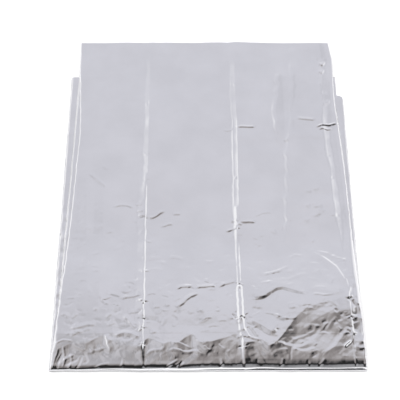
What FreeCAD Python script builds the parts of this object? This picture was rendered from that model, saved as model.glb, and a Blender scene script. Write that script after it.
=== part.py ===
import FreeCAD, Part
import math
import os

# Folded emergency thermal blanket: one sheet of metallised polyester film,
# folded in four across its width and in four along its length, lying flat.
# Millimetres.  +X across the pack, +Y towards the free rear edge, +Z up.
# Origin at the middle of the pack's footprint, on the surface it lies on.

# ---- driving dimensions ---------------------------------------------------
PACK_LENGTH = 529.8          # front roll to free rear edge of the top leaf
PACK_WIDTH = 351.0           # widest (bottom) leaf
TOP_WIDTH = 325.0            # top leaf at the rear: a quarter of a 1300 mm sheet
LOWER_LENGTH = 470.0         # front folds to the rear fold of the lower leaves
FILM = 0.225                 # room taken by one film layer, loosely packed
LAYERS = 4                   # film layers in a leaf (the sheet is folded in four across)
GAP = 0.30                   # air between two leaves
SIDE = 1.3                   # width of a side fold
ROLL_R = 4.70                # outside radius of the loose front roll
EDGE = 0.10                  # the front folds stop this far behind their axes
STAGGER = 1.1                # the free edges are not quite in line
REAR_CHAMFER = (3.6, 32.0)   # top leaf, rear right corner, across and along
NOTCH_LEN = 36.0             # the lower leaves' rear right corner is folded in
NOTCH_WID = 9.0

LEAF_T = LAYERS * FILM
FRONT = -265.0               # the plane of the front fold axes
REAR = FRONT + EDGE + PACK_LENGTH
LOWER_REAR = FRONT + LOWER_LENGTH

Z1 = 0.0                                  # bottom leaf, underside
Z2 = Z1 + LEAF_T + GAP + 0.10             # second leaf
Z3 = Z2 + LEAF_T + GAP                    # third leaf
AXIS_1 = (FRONT, Z1 + LEAF_T + (Z2 - Z1 - LEAF_T) / 2)
AXIS_2 = (LOWER_REAR, Z2 + LEAF_T + GAP / 2)
AXIS_3 = (FRONT, Z3 + ROLL_R + 0.10)
Z4 = 2 * AXIS_2[1] + 0.35                 # top leaf at the rear, underside
ROLL_TOP = AXIS_3[1] + ROLL_R

# the leaves' side edges, from front to rear: (distance from the middle, y).  The
# side folds of the upper leaves run out of true, so those leaves widen forwards.
FAR = 300.0
LEFT = {
    1: [(-PACK_WIDTH / 2, -FAR), (-PACK_WIDTH / 2, FAR)],
    2: [(-PACK_WIDTH / 2 + 2.0, -FAR), (-PACK_WIDTH / 2 + 2.0, FAR)],
    3: [(-PACK_WIDTH / 2 + 3.5, -FAR), (-PACK_WIDTH / 2 + 3.5, -250.0), (-168.2, -36.0), (-165.2, 188.0), (-165.2, FAR)],
    4: [(-174.0, -FAR), (-173.6, -265.0), (-165.8, -110.0), (-160.0, 95.0), (-162.0, 170.0), (-165.0, 265.0), (-165.0, FAR)],
}
RIGHT = {
    1: [(PACK_WIDTH / 2, -FAR), (PACK_WIDTH / 2, FAR)],
    2: [(PACK_WIDTH / 2 - 1.0, -FAR), (PACK_WIDTH / 2 - 1.0, FAR)],
    3: [(PACK_WIDTH / 2 - 1.5, -FAR), (PACK_WIDTH / 2 - 1.5, -200.0), (170.0, 60.0), (168.0, FAR)],
    4: [(175.0, -FAR), (175.0, -265.0), (173.8, -193.0), (170.6, -37.0), (163.6, 150.0), (TOP_WIDTH / 2 + 1.5, REAR - REAR_CHAMFER[1]), (TOP_WIDTH / 2 + 1.5 - REAR_CHAMFER[0], REAR), (TOP_WIDTH / 2 + 1.5 - REAR_CHAMFER[0], FAR)],
}

os.makedirs("parts", exist_ok=True)
V = FreeCAD.Vector


def save(shape, name):
    if not shape.isValid():
        raise ValueError(name + " is not a valid solid")
    shape.exportStep("parts/" + name + ".step")


def prism_xy(points, z0, z1):
    """Plan outline, extruded upwards."""
    ring = [V(x, y, z0) for x, y in points]
    return Part.Face(Part.makePolygon(ring + ring[:1])).extrude(V(0, 0, z1 - z0))


def prism_yz(points, x0, x1):
    """Side profile, extruded across the pack."""
    ring = [V(x0, y, z) for y, z in points]
    return Part.Face(Part.makePolygon(ring + ring[:1])).extrude(V(x1 - x0, 0, 0))


# ---- the three flat leaves' plan outlines ---------------------------------
def plan(x0, x1, y0, y1, notch):
    """A leaf's outline; notch cuts the rear right corner of the wide leaves."""
    if not notch:
        return [(x0, y0), (x1, y0), (x1, y1), (x0, y1)]
    edge = PACK_WIDTH / 2 - NOTCH_WID
    return [
        (x0, y0),
        (x1, y0),
        (x1, y1 - NOTCH_LEN - 10.0),
        (x1 - 3.0, y1 - NOTCH_LEN - 3.0),
        (edge, y1 - NOTCH_LEN),
        (edge, y1),
        (x0 + 9.0, y1),
        (x0 + 2.5, y1 - 3.0),
        (x0, y1 - 9.0),
    ]


BEAD = 2.0                    # depth of a lengthwise fold's bead


def flat_leaf(n, z0, front, rear, wide):
    """Four film layers, face to face, joined in a zigzag by three side folds."""
    x0, x1 = LEFT[n][0][0], RIGHT[n][0][0]
    whole = plan(x0, x1, front, rear, wide)
    inner = prism_xy(
        [(x0 + SIDE, front - 1), (x1 - SIDE, front - 1), (x1 - SIDE, rear + 1), (x0 + SIDE, rear + 1)],
        z0 - 1,
        z0 + LEAF_T + 1,
    )
    for k in range(LAYERS):
        slab = prism_xy(whole, z0 + k * FILM, z0 + (k + 1) * FILM)
        save(slab.common(inner).Solids[0], "film_%d%s" % (n, "abcd"[k]))
    y_right = rear - (NOTCH_LEN + 10.0 if wide else 0.0)
    y_left = rear - (9.0 if wide else 0.0)
    r = FILM * 0.8
    for k, side in ((0, 1), (1, -1), (2, 1)):
        lo, hi = z0 + k * FILM, z0 + (k + 2) * FILM
        edge, y1 = (x1, y_right) if side > 0 else (x0, y_left)
        # a flattened bend: flat above and below, rounded outside
        sec = [
            (edge - side * SIDE, lo),
            (edge - side * r, lo),
            (edge - side * r * 0.3, lo + r * 0.3),
            (edge, lo + r),
            (edge, hi - r),
            (edge - side * r * 0.3, hi - r * 0.3),
            (edge - side * r, hi),
            (edge - side * SIDE, hi),
        ]
        ring = [V(x, front, z) for x, z in sec]
        fold = Part.Face(Part.makePolygon(ring + ring[:1])).extrude(V(0, y1 - front, 0))
        save(fold, "side_fold_%d%s" % (n, "abcd"[k : k + 2]))


def bead(name, n, y_tip, into, z_out, z_in, notch=False):
    """Half of a lengthwise fold: the film's bend on one side of the fold's axis.
    y_tip: the fold's outermost line; into: +1 or -1, the way back into the leaf;
    z_out: the face away from the axis; z_in: the face next to it."""
    h = z_in - z_out
    prof = [(y_tip, z_in)]
    for a in range(1, 6):
        t = math.radians(18 * a)
        prof.append((y_tip + into * abs(h) * (1 - math.cos(t)), z_in - h * math.sin(t)))
    prof += [(y_tip + into * BEAD, z_out), (y_tip + into * BEAD, z_in)]
    x0, x1 = LEFT[n][-1][0], RIGHT[n][-1][0]
    if notch:
        x0, x1 = x0 + 9.0, PACK_WIDTH / 2 - NOTCH_WID
    save(prism_yz(prof, x0, x1), name)


# bottom leaf: front fold in front, free edge behind
flat_leaf(1, Z1, FRONT + EDGE + BEAD, LOWER_REAR - EDGE - STAGGER, True)
bead("front_fold_lower", 1, FRONT + EDGE, 1, Z1, Z1 + LEAF_T)
# second leaf: front fold in front, rear fold behind
flat_leaf(2, Z2, FRONT + EDGE + BEAD, LOWER_REAR - EDGE - BEAD, True)
bead("front_fold_upper", 2, FRONT + EDGE, 1, Z2 + LEAF_T, Z2)
bead("rear_fold_lower", 2, LOWER_REAR - EDGE, -1, Z2, Z2 + LEAF_T, True)


# ---- third and top leaves: joined by the loose front roll -----------------
def roll_points(radius, up):
    """A quarter of the roll, from its foremost line to its top (or bottom)."""
    cy, cz = FRONT + EDGE + ROLL_R, AXIS_3[1]
    out = []
    for i in range(9):
        t = math.radians(90.0 * i / 8)
        out.append((cy - radius * math.cos(t), cz + up * radius * math.sin(t)))
    return out


def ribbon(outer, inner, x0, x1, keep):
    shape = prism_yz(outer + inner[::-1], x0, x1)
    return shape.common(keep).Solids[0]


TOP_SHAPE = [  # behind the roll: distance from its middle line, height of the upper face
    (10.0, ROLL_TOP - 0.10),
    (22.0, ROLL_TOP - 0.75),
    (38.0, ROLL_TOP - 2.10),
    (60.0, ROLL_TOP - 3.50),
    (90.0, ROLL_TOP - 4.70),
    (130.0, Z4 + LEAF_T + 0.45),
    (190.0, Z4 + LEAF_T),
]


def top_curve(depth, back):
    """The line that lies depth below the top leaf's upper face."""
    line = roll_points(ROLL_R - depth, 1)
    line += [(FRONT + EDGE + ROLL_R + d, z - depth) for d, z in TOP_SHAPE]
    return line + [(REAR - back, Z4 + LEAF_T - depth)]


def third_curve(depth, rear):
    """The line that lies depth above the third leaf's underside."""
    line = roll_points(ROLL_R - depth, -1)
    return line + [(FRONT + EDGE + ROLL_R + 4.0, Z3 + 0.10 + depth), (FRONT + 40.0, Z3 + depth), (rear, Z3 + depth)]


far = 400.0
above = prism_yz([(FRONT - 5, AXIS_3[1] + 0.15), (FRONT + 8, AXIS_3[1] + 0.15), (FRONT + 8, Z4 - 1), (far, Z4 - 1), (far, 40), (FRONT - 5, 40)], -far, far)
below = prism_yz([(FRONT - 5, -5), (far, -5), (far, AXIS_3[1] - 0.15), (FRONT - 5, AXIS_3[1] - 0.15)], -far, far)


def shifted(edge, dx):
    return [(x + dx, y) for x, y in edge]


def between(left, right):
    """Everything between two edge lines, as a tall block."""
    return prism_xy(left + right[::-1], -5, 40)


def rolled_leaf(n, curve, half, back):
    """Four nested film layers and their three side folds, between the leaf's edges.
    curve(depth, back) is a line of the leaf's side profile, depth counted in from its outer face."""
    left, right = LEFT[n], RIGHT[n]
    body = between(shifted(left, SIDE), shifted(right, -SIDE)).common(half)
    strips = {
        1: between(shifted(right, -SIDE), right).common(half),
        -1: between(left, shifted(left, SIDE)).common(half),
    }
    for k in range(LAYERS):
        lo, hi = k * FILM, (k + 1) * FILM
        name = "film_%d%s" % (n, "abcd"[k] if n == 3 else "dcba"[k])
        save(ribbon(curve(lo, back(k)), curve(hi, back(k)), -far, far, body), name)
    for k, side in ((0, 1), (1, -1), (2, 1)):
        lo, hi = k * FILM, (k + 2) * FILM
        pair = "abcd"[k : k + 2] if n == 3 else "abcd"[2 - k : 4 - k]
        save(ribbon(curve(lo, back(k + 1)), curve(hi, back(k + 1)), -far, far, strips[side]), "side_fold_%d%s" % (n, pair))


# third leaf: layer a is the outermost round the roll, d the innermost
rolled_leaf(3, third_curve, below, lambda k: LOWER_REAR - EDGE - BEAD)
bead("rear_fold_upper", 3, LOWER_REAR - EDGE, -1, Z3 + LEAF_T, Z3)
# top leaf: layer d is the uppermost and the outermost round the roll
rolled_leaf(4, top_curve, above, lambda k: STAGGER * k)

print("axes", AXIS_1, AXIS_2, AXIS_3, "Z", Z1, Z2, Z3, Z4, "top", ROLL_TOP, "rear", REAR)
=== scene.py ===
import math

import bpy
import numpy as np
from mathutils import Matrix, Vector
from mathutils.geometry import delaunay_2d_cdt


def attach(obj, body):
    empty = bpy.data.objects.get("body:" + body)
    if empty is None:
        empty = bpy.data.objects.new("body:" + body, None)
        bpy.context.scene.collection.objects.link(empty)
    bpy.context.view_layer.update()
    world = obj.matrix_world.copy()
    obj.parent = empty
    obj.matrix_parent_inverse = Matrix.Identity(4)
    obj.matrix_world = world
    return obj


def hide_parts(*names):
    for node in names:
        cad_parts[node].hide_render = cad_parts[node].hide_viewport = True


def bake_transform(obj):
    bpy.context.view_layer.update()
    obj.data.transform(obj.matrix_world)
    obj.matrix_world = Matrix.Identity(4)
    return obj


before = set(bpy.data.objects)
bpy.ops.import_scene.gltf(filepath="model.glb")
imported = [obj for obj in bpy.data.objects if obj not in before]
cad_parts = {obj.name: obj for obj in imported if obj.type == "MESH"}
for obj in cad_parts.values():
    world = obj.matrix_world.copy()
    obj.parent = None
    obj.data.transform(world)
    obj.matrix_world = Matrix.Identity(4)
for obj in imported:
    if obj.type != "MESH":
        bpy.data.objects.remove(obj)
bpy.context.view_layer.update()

MM = 0.001
rng = np.random.default_rng(20)

# Everything below is worked out in millimetres, in the row frame.  S is the
# distance measured along the film from the front roll's foremost line.
FRONT, REAR, LOWER_REAR = -264.9, 264.9, 204.9
PITCH = 0.225          # from one film layer to the next
SKIN = 0.09            # thickness of a film layer as drawn


def interp(points, at):
    p = np.array(points, float)
    o = np.argsort(p[:, 0])
    return np.interp(at, p[o, 0], p[o, 1])


def smooth(t):
    t = np.clip(t, 0, 1)
    return t * t * (3 - 2 * t)


# ---------------------------------------------------------------------------
# The crinkles: one height field over the film, sampled by every layer
# ---------------------------------------------------------------------------
STEP = 0.7
gx = np.arange(-184, 184.01, STEP)
gs = np.arange(-30, 540.01, STEP)
GX, GS = np.meshgrid(gx, gs)          # rows: S, columns: x


def along(poly, margin):
    """Distance from a polyline, which side of it, and how far along, near it only."""
    p = np.array(poly, float)
    lo, hi = p.min(0) - margin, p.max(0) + margin
    c = slice(*np.searchsorted(gx, [lo[0], hi[0]]))
    r = slice(*np.searchsorted(gs, [lo[1], hi[1]]))
    X, S = GX[r, c], GS[r, c]
    seg = np.diff(p, axis=0)
    ln = np.hypot(seg[:, 0], seg[:, 1])
    cum = np.concatenate([[0], np.cumsum(ln)])
    best = np.full(X.shape, 1e9)
    side = np.zeros(X.shape)
    run = np.zeros(X.shape)
    for i in range(len(seg)):
        ux, us = seg[i] / ln[i]
        dx, ds = X - p[i, 0], S - p[i, 1]
        t = np.clip(dx * ux + ds * us, 0, ln[i])
        d = np.hypot(dx - t * ux, ds - t * us)
        near = d < best
        best = np.where(near, d, best)
        side = np.where(near, np.sign(dx * us - ds * ux), side)
        run = np.where(near, (cum[i] + t) / cum[-1], run)
    return (r, c), best, side, run


def crease(H, poly, height, left, right=None, ends=0.25, profile=None, uneven=0.0):
    """A fold in the film: a ridge of this height, falling off over left and right of it.
    height may be a list of (run, height).  ends: the share of its length that it fades over."""
    right = left if right is None else right
    where, d, side, run = along(poly, max(left, right) + 1)
    w = np.where(side > 0, right, left)
    a = interp(height, run) if isinstance(height, list) else height
    if uneven:
        k = run * 37 + poly[0][0]
        a = a * (1 + uneven * (np.sin(k * 1.3) * 0.5 + np.sin(k * 2.9 + 1) * 0.35 + np.sin(k * 5.3 + 2) * 0.3))
    if ends:
        a = a * smooth(np.minimum(run, 1 - run) / ends + 0.02)
    t = np.clip(1 - d / w, 0, 1)
    H[where] += a * (t if profile is None else profile(t))


def facets(spacing, seed, stretch=1.0, jitter=0.45):
    """Flat triangles between scattered points of random height, as in crumpled foil."""
    r = np.random.default_rng(seed)
    ys = np.arange(-40, 560, spacing * 0.866)
    pts = []
    for i, s in enumerate(ys):
        xs = np.arange(-200 - (i % 2) * spacing * stretch / 2, 206, spacing * stretch)
        for x in xs:
            pts.append((x + r.uniform(-jitter, jitter) * spacing * stretch, s + r.uniform(-jitter, jitter) * spacing))
    z = r.normal(0, 1, len(pts)).clip(-1.8, 1.8)
    verts, _, tris, orig, _, _ = delaunay_2d_cdt([Vector(p) for p in pts], [], [], 0, 1e-6)
    P = np.array([(v[0], v[1]) for v in verts])
    Z = np.array([z[o[0]] if o else 0.0 for o in orig])
    out = np.zeros(GX.shape)
    for t in tris:
        a, b, c = (P[i] for i in t)
        lo, hi = np.minimum(np.minimum(a, b), c), np.maximum(np.maximum(a, b), c)
        i0, i1 = np.searchsorted(gx, [lo[0] - STEP, hi[0] + STEP])
        j0, j1 = np.searchsorted(gs, [lo[1] - STEP, hi[1] + STEP])
        if i0 >= i1 or j0 >= j1:
            continue
        X, S = GX[j0:j1, i0:i1], GS[j0:j1, i0:i1]
        det = (b[1] - c[1]) * (a[0] - c[0]) + (c[0] - b[0]) * (a[1] - c[1])
        if abs(det) < 1e-9:
            continue
        u = ((b[1] - c[1]) * (X - c[0]) + (c[0] - b[0]) * (S - c[1])) / det
        v = ((c[1] - a[1]) * (X - c[0]) + (a[0] - c[0]) * (S - c[1])) / det
        w = 1 - u - v
        inside = (u > -1e-3) & (v > -1e-3) & (w > -1e-3)
        val = u * Z[t[0]] + v * Z[t[1]] + w * Z[t[2]]
        out[j0:j1, i0:i1] = np.where(inside, val, out[j0:j1, i0:i1])
    return out


def blur(H, sigma):
    """Gaussian blur, in raster cells."""
    n = max(1, int(3 * sigma))
    k = np.exp(-0.5 * (np.arange(-n, n + 1) / sigma) ** 2)
    k /= k.sum()
    for axis in (0, 1):
        pad = [(n, n) if a == axis else (0, 0) for a in (0, 1)]
        P = np.pad(H, pad, mode="edge")
        H = sum(k[i] * (P[i : i + H.shape[0], :] if axis == 0 else P[:, i : i + H.shape[1]]) for i in range(2 * n + 1))
    return H


def sample(H, x, s):
    """The height field at these points, bilinear."""
    u = np.clip((x - gx[0]) / STEP, 0, len(gx) - 1.001)
    v = np.clip((s - gs[0]) / STEP, 0, len(gs) - 1.001)
    i, j = u.astype(int), v.astype(int)
    fu, fv = u - i, v - j
    return (H[j, i] * (1 - fu) + H[j, i + 1] * fu) * (1 - fv) + (H[j + 1, i] * (1 - fu) + H[j + 1, i + 1] * fu) * fv


# ---------------------------------------------------------------------------
# The top leaf's side profile: under the roll, round its front, and back over it
# ---------------------------------------------------------------------------
def roll_profile():
    """Points (distance behind the foremost line, height) from under the roll to the free rear end."""
    pts = []
    r_low, z_front = 1.0, 3.5
    for a in np.linspace(180, 90, 16)[:-1]:
        t = math.radians(a)
        pts.append((r_low * (1 - math.sin(t)), z_front + r_low * math.cos(t)))
    pts = [(7.0, z_front - r_low), (5.2, z_front - r_low), (3.4, z_front - r_low)] + pts
    # up the front: steep at first, then a long lean, before it turns over on to the top
    y, z = 0.0, z_front
    pts.append((y, z))
    for steep, flat, length, n in ((90, 44, 4.0, 16), (44, 32, 2.6, 10)):
        for i in range(n):
            t = math.radians(steep + (flat - steep) * (i + 0.5) / n)
            y, z = y + math.cos(t) * length / n, z + math.sin(t) * length / n
            pts.append((y, z))
    tilt = [(y, 32), (y + 0.9, 11), (y + 2, 7.6), (8, 7.0), (43.5, 7.0), (44.5, 0.3), (70, 0.0), (100, -2.0), (160, -2.6), (200, -0.3), (215, 0), (540, 0)]
    while y < 529.8:
        step = 0.42 if y < 10 else 0.8 if y < 125 else 1.1 if y < 200 else 1.35 if y < 420 else 2.0
        if y + step > 529.8:
            step = 529.81 - y
        a = math.radians(float(interp(tilt, y + step / 2)))
        y, z = y + step, z + math.tan(a) * step
        pts.append((y, z))
    return np.array(pts)


prof = roll_profile()
# bring the plateau behind the roll down to where the flat part lies
prof[:, 1] += (5.95 - prof[-1, 1]) * smooth((prof[:, 0] - 60) / 140)
front_i = int(np.argmin(prof[:, 0]))
arc = np.concatenate([[0], np.cumsum(np.hypot(*np.diff(prof, axis=0).T))])
S_prof = arc - arc[front_i]
d = np.gradient(prof, axis=0)
d /= np.hypot(d[:, 0], d[:, 1])[:, None]
N_prof = np.stack([-d[:, 1], d[:, 0]], 1)     # outward: up on the top side

# how far behind the foremost line each row of the height field lies
YP = np.interp(GS, S_prof[front_i:], prof[front_i:, 0])


def path(*pts):
    """Row-frame x, y points as x, S points."""
    return [(x, float(np.interp(y + 264.9, prof[front_i:, 0], S_prof[front_i:]))) for x, y in pts]


def jag(line, step, amount, seed):
    """The same line, broken into short stretches that wander a little sideways."""
    r = np.random.default_rng(seed)
    p = np.array(line, float)
    ln = np.concatenate([[0], np.cumsum(np.hypot(*np.diff(p, axis=0).T))])
    at = [0.0]
    while at[-1] < ln[-1] - step:
        at.append(at[-1] + step * r.uniform(0.5, 1.5))
    at[-1] = ln[-1]
    return [(np.interp(t, ln, p[:, 0]) + r.normal(0, amount), np.interp(t, ln, p[:, 1])) for t in at]


# the factory's pack creases, along the leaf
C1 = jag(path((-75.8, 264.9), (-74.7, 147), (-74.9, 102), (-74.2, 17), (-74.5, -40), (-73.5, -114), (-73.0, -175), (-73.1, -204), (-72.8, -232), (-71.9, -259), (-71.5, -264)) + [(-71.5, -25)], 8, 0.28, 1)
C2 = jag(path((34.4, 264.9), (34.0, 184), (35.4, 108), (35.4, 22), (35.4, -54), (35.7, -111), (36.1, -150), (37.5, -200), (39.7, -230), (40.0, -250), (40.8, -264)) + [(40.8, -25)], 9, 0.22, 2)
C3 = jag(path((108.9, 258), (108.5, 212), (106.7, 165), (104.4, 106), (98.0, 68), (97.4, 17), (95.0, -15.5), (91.5, -79)), 9, 0.9, 3)
C3B = jag(path((88, 205), (86.4, 171), (81.6, 138), (83.1, 106), (88.4, 76.5)), 9, 0.8, 4)
C4 = jag(path((148, 264.9), (149.7, 231), (147.9, 171), (146.1, 111), (147.6, 68), (151.1, 42), (151.6, -15.5), (156.5, -74), (159.6, -151), (161.0, -172), (161.4, -191), (161.3, -211), (160.9, -234), (162.9, -259), (163, -264)) + [(163, -25)], 8, 0.25, 5)

top = np.zeros(GX.shape)

# slow swells, almost flat towards the rear
swell = blur(facets(60, 3), 18)
top += swell * interp([(-30, 0.0), (12, 0.0), (40, 0.35), (140, 0.45), (300, 0.14), (540, 0.10)], GS)

# where the roll's front face breaks into the flat behind it: the line wanders, and goes far back on the right
BREAK = [(-180, 14), (-173.7, 16.3), (-163.1, 24.6), (-153.5, 30.7), (-143.6, 30.7), (-134.8, 31.4), (-123.0, 40.4), (-115.3, 44.3), (-109.5, 36.3), (-99.2, 28.0), (-85.9, 25.9), (-72.6, 24.6), (-71.1, 32.8), (-66.3, 39.0), (-60.6, 34.9), (-49.4, 28.0), (-43.9, 31.4), (-32.9, 30.7), (-24.1, 39.7), (-17.4, 43.9), (-11.8, 31.4), (-3.0, 30.1), (4.8, 31.4), (19.3, 37.7), (28.2, 43.9), (33.8, 44.6), (39.2, 34.6), (41.3, 30.1), (53.0, 30.7), (64.4, 25.9), (68.2, 23.7), (76.6, 32), (84, 42), (92, 54), (99, 66), (112.3, 79), (127.1, 84.9), (144.2, 87.8), (151.4, 93.6), (160, 97.0), (164, 112), (168, 118), (172.0, 112), (178.4, 108), (184, 104)]
yb_ = interp(BREAK, gx)
yb_ = np.where(gx < 80, 33 + 0.8 * (yb_ - 33), yb_)
yb_ = np.convolve(np.pad(yb_, 4, mode="edge"), np.hanning(11)[1:-1] / np.hanning(11).sum(), "valid")[None, :] + 0 * GX
rise0 = 35.5 * math.tan(math.radians(7.0))
rise = interp([(-184, rise0), (60, rise0), (112, rise0 + 3.0), (160, rise0 + 3.0), (184, rise0 + 2.3)], GX)
face = np.clip((YP - 8) / (yb_ - 8), 0, 1)
extra = (rise - rise0) * (1 - smooth((YP - yb_) / 110))
top += np.where(YP > 8, rise0 * face + extra * face - rise0 * np.clip((YP - 8) / 35.5, 0, 1), 0)

# low down, the face steepens slowly in the middle and more so on the right
lower = interp([(-90, 0), (-50, 0.15), (10, 0.35), (50, 1.0), (184, 1.2)], GX)
top -= lower * (1 - smooth((YP - 1.5) / 9.5))

# crumpled facets on the roll's front face, and fainter ones behind it
front = smooth((YP + 1) / 6) * (1 - smooth((YP - yb_ + 2) / 10))
rightish = 1 - 0.45 * smooth((GX - 10) / 80)
top += facets(11, 5, 1.35) * 0.17 * front * rightish
top += facets(4.0, 6, 1.3) * 0.05 * front * rightish
top += facets(24, 7, 1.25) * 0.44 * front * smooth((YP - 8) / 14) * rightish
behind = (1 - front) * interp([(0, 0), (14, 1.0), (80, 0.9), (130, 0.6), (200, 0.38), (270, 0.2), (330, 0.05), (400, 0.02), (540, 0.015)], GS)
quiet = interp([(-176, 0.45), (-90, 0.55), (-20, 0.8), (60, 1.0)], GX)
top += facets(21, 8, 1.3) * 0.30 * behind * rightish * quiet
top += facets(7.5, 10, 1.4) * 0.06 * behind * quiet
# the strip beyond the right-hand crease is crumpled more sharply towards the front
top += facets(10, 14, 1.7) * 0.42 * smooth((GX - 162) / 2) * smooth((YP - 12) / 10) * (1 - smooth((YP - 95) / 40))

# pack creases: (run, height) and widths to either side
def pack(H, line, height, left, right, profile=None):
    crease(H, line, height, left, right, ends=0, profile=profile, uneven=0.2)


def step_band(H, line, height, width, away, shift=0.0):
    """The film steps up over width, left of a line, and comes down slowly to its right.
    A negative away mirrors it.  height: (row-frame y, height) points."""
    q = np.array(line)
    o = np.argsort(q[:, 1])
    h = interp([(path((0, y))[0][1], v) for y, v in height], gs)
    h = h * (1 + 0.07 * np.sin(gs / 9.1 + line[0][0]) * np.sin(gs / 23 + 1) + 0.04 * np.sin(gs / 4.3))
    d = GX - np.interp(gs, q[o, 1], q[o, 0])[:, None] - shift
    if away < 0:
        d = -d
    wide = width * (1 + 0.10 * np.sin(gs / 14 + 2) + 0.06 * np.sin(gs / 5.2))[:, None]
    H += h[:, None] * np.where(d < 0, np.clip(1 + d / wide, 0, 1), np.clip(1 - d / abs(away), 0, 1))


flat_top = lambda t: np.minimum(t * 1.6, 1)
step_band(top, C1, [(265, 1.05), (200, 1.15), (100, 1.4), (60, 1.5), (20, 1.2), (-20, 0), (-264, 0)], 7.0, 52, 2.6)
pack(top, C1, [(0, 0.0), (0.42, 0.0), (0.44, 1.05), (0.7, 1.2), (0.86, 1.0), (0.9, 0.55), (1, 0.3)], 2.2, 9)
C2R = [(x + 2.8, s_) for x, s_ in C2]
step_band(top, C2, [(265, 1.85), (225, 1.9), (110, 2.05), (60, 2.2), (-50, 2.2), (-110, 0.0), (-264, 0)], 9.0, 60, 3.6)
pack(top, C2R, [(0, 0), (0.25, 0.05), (0.27, 0.30), (0.5, 0.34), (0.525, 0), (1, 0)], 1.2, 1.0)
pack(top, [(x - 2.8, s_) for x, s_ in C2], [(0, 0), (0.25, 0.05), (0.27, 0.26), (0.5, 0.30), (0.525, 0), (1, 0)], 1.2, 1.2)
pack(top, C2, [(0, 0), (0.52, 0.0), (0.525, 0.6), (0.75, 0.8), (0.755, 0), (1, 0)], 2.7, 2.7, flat_top)
pack(top, C2, [(0, 0), (0.745, 0), (0.75, 1.15), (0.86, 1.15), (0.89, 0), (1, 0)], 4.0, 4.0, flat_top)
pack(top, C2, [(0, 0), (0.86, 0), (0.875, 0.8), (0.93, 0.6), (1, 0.3)], 12, 2.0)
step_band(top, C3, [(265, 0), (250, 1.1), (212, 1.3), (60, 1.35), (-60, 1.25), (-100, 0), (-264, 0)], 5.4, 50, 1.9)
step_band(top, [(88, path((0, 265))[0][1])] + C3B + [(88.4, 40)], [(265, 0), (220, 0), (200, 1.2), (140, 1.45), (100, 1.2), (72, 0), (-264, 0)], 5.2, 24, 4.0)
pack(top, C4, [(0, 0.10), (0.3, 0.20), (0.5, 0.24), (0.6, 0.26), (0.8, 0.30), (1, 0.22)], 1.5, 1.1)
# the strip beyond the right-hand crease leans outwards a little
q = np.array(C4)
beyond = np.clip(GX - np.interp(-GS, -q[:, 1], q[:, 0]) - 1.0, 0, 30)
top -= beyond * (math.tan(math.radians(2.4)) * smooth((YP - 100) / 60) - math.tan(math.radians(2.0)) * smooth((YP - 8) / 20) * (1 - smooth((YP - 80) / 40)))

# puckers where the pack's cross creases meet them
r3 = np.random.default_rng(31)
for line, ys, big in ((C1, (150, 62, 17, -45, -128, -175, -214, -236), 1.0), (C2, (184, 106, 22, -54, -60, -148, -160, -200, -226, -240), 1.15), (C4, (231, 206, 170, 112, 104, 60, 20, -40, -110, -172, -197, -220), 1.1)):
    q = np.array(line)
    for y in ys:
        s0 = path((0, y))[0][1]
        x0 = np.interp(-s0, -q[:, 1], q[:, 0])
        for j in range(8):
            a = r3.uniform(0, 2 * math.pi)
            ln = r3.uniform(3, 9)
            dx, ds = math.cos(a) * ln, math.sin(a) * ln * 0.6
            k = big * (0.55 + 0.7 * smooth((330 - s0) / 250))
            crease(top, [(x0 + 0.1 * dx, s0 + 0.1 * ds), (x0 + dx, s0 + ds)], k * r3.choice([-1, 1]) * r3.uniform(0.16, 0.42), r3.uniform(1.1, 2.0), r3.uniform(1.1, 2.4), ends=0.3)

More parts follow.
